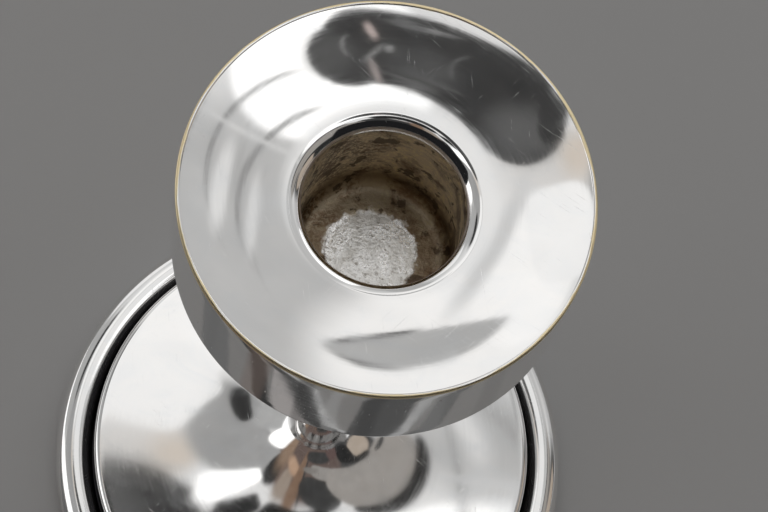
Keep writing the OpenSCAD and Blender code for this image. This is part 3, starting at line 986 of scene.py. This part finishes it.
def sky_way(x, y):
    """Unit vector x degrees to the right of straight up and y degrees away, with its map axes."""
    tilt, azimuth = math.radians(math.hypot(x, y)), math.atan2(y, x)
    aim = Vector((math.sin(tilt) * math.cos(azimuth), math.sin(tilt) * math.sin(azimuth),
                  math.cos(tilt)))
    outward = Vector((math.cos(tilt) * math.cos(azimuth), math.cos(tilt) * math.sin(azimuth),
                      -math.sin(tilt)))
    round_ = Vector((-math.sin(azimuth), math.cos(azimuth), 0))
    return (aim, math.cos(azimuth) * outward - math.sin(azimuth) * round_,
            math.sin(azimuth) * outward + math.cos(azimuth) * round_)


def share(way, shape):
    """How much of a shape lies in each direction of the array way."""
    x, y, half_width, half_height, turn, power, edge = shape
    aim, east, north = sky_way(x, y)
    t = math.radians(turn)
    ahead = way @ np.array(aim)
    reach = 0
    for axis, half in ((math.cos(t) * east + math.sin(t) * north, half_width),
                       (math.cos(t) * north - math.sin(t) * east, half_height)):
        angle = np.abs(np.arctan2(way @ np.array(axis), ahead))
        reach = reach + (angle / math.radians(half)) ** power
    within = np.clip((1 + edge - reach ** (1 / power)) / (2 * edge), 0, 1)
    return within * within * (3 - 2 * within)


def make_studio():
    """Glowing dome over the table, painted with the panels. Only its light and reflections show."""
    tilts = np.radians(np.concatenate((np.arange(0.2, 60, 0.36), np.arange(60, 91, 0.8))))
    rounds = np.arange(DOME_COLUMNS) * TURN / DOME_COLUMNS
    tilt, turn = (m.ravel() for m in np.meshgrid(tilts, rounds, indexing="ij"))
    way = np.stack((np.sin(tilt) * np.cos(turn), np.sin(tilt) * np.sin(turn), np.cos(tilt)), 1)
    rise = np.clip(way[:, 2] / 0.85, 0, 1)[:, None]
    side, top = np.array(grey(SIDE_GREY)), np.array(grey(TOP_GREY))
    light = side + (top - side) * rise * rise * (3 - 2 * rise)
    for colour, inside, *outside in PANELS:
        mask = 1
        for shape in inside:
            mask = mask * share(way, shape)
        for shape in outside:
            mask = mask * (1 - share(way, shape))
        light += mask[:, None] * (np.array(colour) - light)

    mottle = np.array([noise.fractal(Vector(w) * MOTTLE_SCALE, 0.9, 2.1, 5) for w in way])
    light[:, :3] *= 1 + np.clip(mottle[:, None] * MOTTLE / (0.12 + light[:, :3]), -0.5, 0.5)

    index = np.arange(len(way)).reshape(len(tilts), DOME_COLUMNS)
    after = np.roll(index, -1, axis=1)
    quads = np.stack((index[:-1], index[1:], after[1:], after[:-1]), -1).reshape(-1, 4)
    mesh = painted_mesh("light_dome", (way * DOME_R).tolist(),
                        [index[0].tolist()] + quads.tolist(), light)
    dome = place_object("light_dome", mesh, painted_glow("studio_light"), ("camera", "shadow"))

    world = bpy.data.worlds.new("studio")
    bpy.context.scene.world = world
    world.use_nodes = True
    world.node_tree.nodes["Background"].inputs["Color"].default_value = grey(0.3)


def painted_only_for_reflections(name, points, faces, colours):
    """Painted stage mesh that mirror rays meet, and no others."""
    piece = place_object(name, painted_mesh(name, points, faces, colours),
                         painted_glow(name + "_paint", holes=True),
                         ("camera", "diffuse", "transmission", "volume_scatter", "shadow"))


def grid_faces(rows, columns):
    return [(i * columns + j, i * columns + j + 1, (i + 1) * columns + j + 1, (i + 1) * columns + j)
            for i in range(rows - 1) for j in range(columns - 1)]


HOOD_R, HOOD_HEIGHTS = 66.0, (144.0, 222.0)   # millimetres
HOOD_FROM, HOOD_TO = -168.0, -14.0            # azimuth, degrees
HOOD_COLUMNS = 80


def make_lens_hood():
    """Black screen just above the cup on the near side: the mouth's far lip mirrors it."""
    angles = np.radians(np.linspace(HOOD_FROM, HOOD_TO, HOOD_COLUMNS))
    points = [(HOOD_R * math.cos(a) * MM, HOOD_R * math.sin(a) * MM, z * MM)
              for z in HOOD_HEIGHTS for a in angles]
    colours = np.full((len(points), 4), (0.012, 0.012, 0.013, 1.0))
    faces = grid_faces(len(HOOD_HEIGHTS), HOOD_COLUMNS)
    painted_only_for_reflections("hood", points, faces, colours)


LEAN_FROM = 64                                # distance at which a leaning shape is at its azimuth
TABLE_PAINT_Z, TABLE_COLUMNS = 0.8, 721

# What stands on the table round the candlestick, as mirrored low down: azimuth and half width in
# degrees, nearest and furthest distance from the axis in millimetres, lean in degrees a millimetre,
# colour, corners' power.
TABLE_SHAPES = [
    (-119, 6, 40, 90, -1.2, grey(0.035), 2.4),
    (-105, 7.5, 40, 90, -0.6, tint(0.30, 0.285, 0.28), 3),
    (-88, 7.5, 40, 90, -2.4, grey(0.055), 2.4), (-78, 2.5, 40, 90, -2.4, grey(0.40), 2.4),
    (-62, 12.5, 40, 90, 0.4, grey(0.075), 2.4), (-48, 3, 40, 90, 1.0, grey(0.33), 2.5),
    (-37, 5, 40, 90, 1.0, grey(0.12), 2.5), (-152, 10, 40, 90, -0.6, grey(0.13), 2.5),
    (-126, 13, 95, 6000, 0, tint(0.15, 0.115, 0.10), 4), (-100, 7, 95, 6000, 0, grey(0.03), 4),
    (-83, 5, 95, 6000, 0, grey(0.30), 4), (-66, 8, 95, 6000, 0, grey(0.035), 4),
    (-38, 8, 150, 6000, 0, grey(0.20), 4), (-8, 15, 190, 6000, 0, grey(0.05), 4),
    (24, 7, 240, 6000, 0, grey(0.80), 4), (52, 5, 260, 6000, 0, grey(0.10), 4),
    (88, 16, 210, 6000, 0, grey(0.62), 4), (121, 9, 200, 6000, 0, grey(0.03), 4),
    (139, 4, 260, 6000, 0, grey(0.5), 4), (170, 18, 240, 6000, 0, grey(0.72), 4),
    (205, 8, 210, 6000, 0, grey(0.06), 4),
]


def make_table_reflections():
    """Dark and light things round the candlestick that only its sides mirror."""
    radii = np.concatenate((np.linspace(49, 100, 100), np.geomspace(104, 6000, 60)))
    turns = np.linspace(0, TURN, TABLE_COLUMNS)
    radius, turn = (m.ravel() for m in np.meshgrid(radii, turns, indexing="ij"))
    x, y = np.cos(turn), np.sin(turn)
    wander = np.array([noise.fractal(Vector((a * 3, b * 3, r * 0.035)), 1, 2, 3)
                       for a, b, r in zip(x, y, radius)])
    colour = np.zeros((len(turn), 4))
    for azimuth, half, near, far, lean, tone, power in TABLE_SHAPES:
        bent = azimuth + lean * (radius - LEAN_FROM) + 4 * wander
        off = np.abs((np.degrees(turn) - bent + 180) % 360 - 180)
        middle = (near + far) / 2
        reach = (np.abs(off / half) ** power
                 + np.abs((radius - middle) / (far - middle)) ** power) ** (1 / power)
        here = np.clip((1.06 - reach) / 0.12, 0, 1)[:, None]
        cover = np.maximum(colour[:, 3:], here)
        colour[:, :3] += here * (np.array(tone[:3]) - colour[:, :3])
        colour[:, 3:] = cover
    colour[:, :3] /= np.maximum(colour[:, 3:], 0.05)
    points = np.stack((radius * x, radius * y, np.full(len(turn), TABLE_PAINT_Z)), 1) * MM
    painted_only_for_reflections("table_things", points.tolist(),
                                 grid_faces(len(radii), len(turns)), colour)


make_studio()
make_lens_hood()
make_table_reflections()
bpy.context.scene.view_settings.view_transform = "Standard"


# ---------------------------------------- camera

CAMERA_PITCH, CAMERA_ROLL = 69.51, 17.52      # degrees
CAMERA_OFFSET = (0.02, -6.60, 359.6)          # from the mouth: right, up and back, in millimetres
SENSOR, LENS = 36.0, 121.875                  # millimetres


def make_camera():
    """Looks down into the cup from the near side, rolled."""
    pitch, roll = math.radians(CAMERA_PITCH), math.radians(CAMERA_ROLL)
    right = Vector((1, 0, 0))
    up = Vector((0, math.sin(pitch), math.cos(pitch)))
    back = Vector((0, -math.cos(pitch), math.sin(pitch)))
    x = math.cos(roll) * right + math.sin(roll) * up
    y = -math.sin(roll) * right + math.cos(roll) * up
    data = bpy.data.cameras.new("camera")
    data.sensor_width, data.lens = SENSOR, LENS
    data.clip_start, data.clip_end = 0.01, 50.0
    camera = bpy.data.objects.new("camera", data)
    bpy.context.scene.collection.objects.link(camera)
    mouth = Vector((0, 0, mouth_z))
    rightward, upward, backward = CAMERA_OFFSET
    camera.location = (mouth + rightward * x + upward * y + backward * back) * MM
    camera.rotation_mode = "QUATERNION"
    camera.rotation_quaternion = Matrix((x, y, back)).transposed().to_quaternion()
    bpy.context.scene.camera = camera


make_camera()
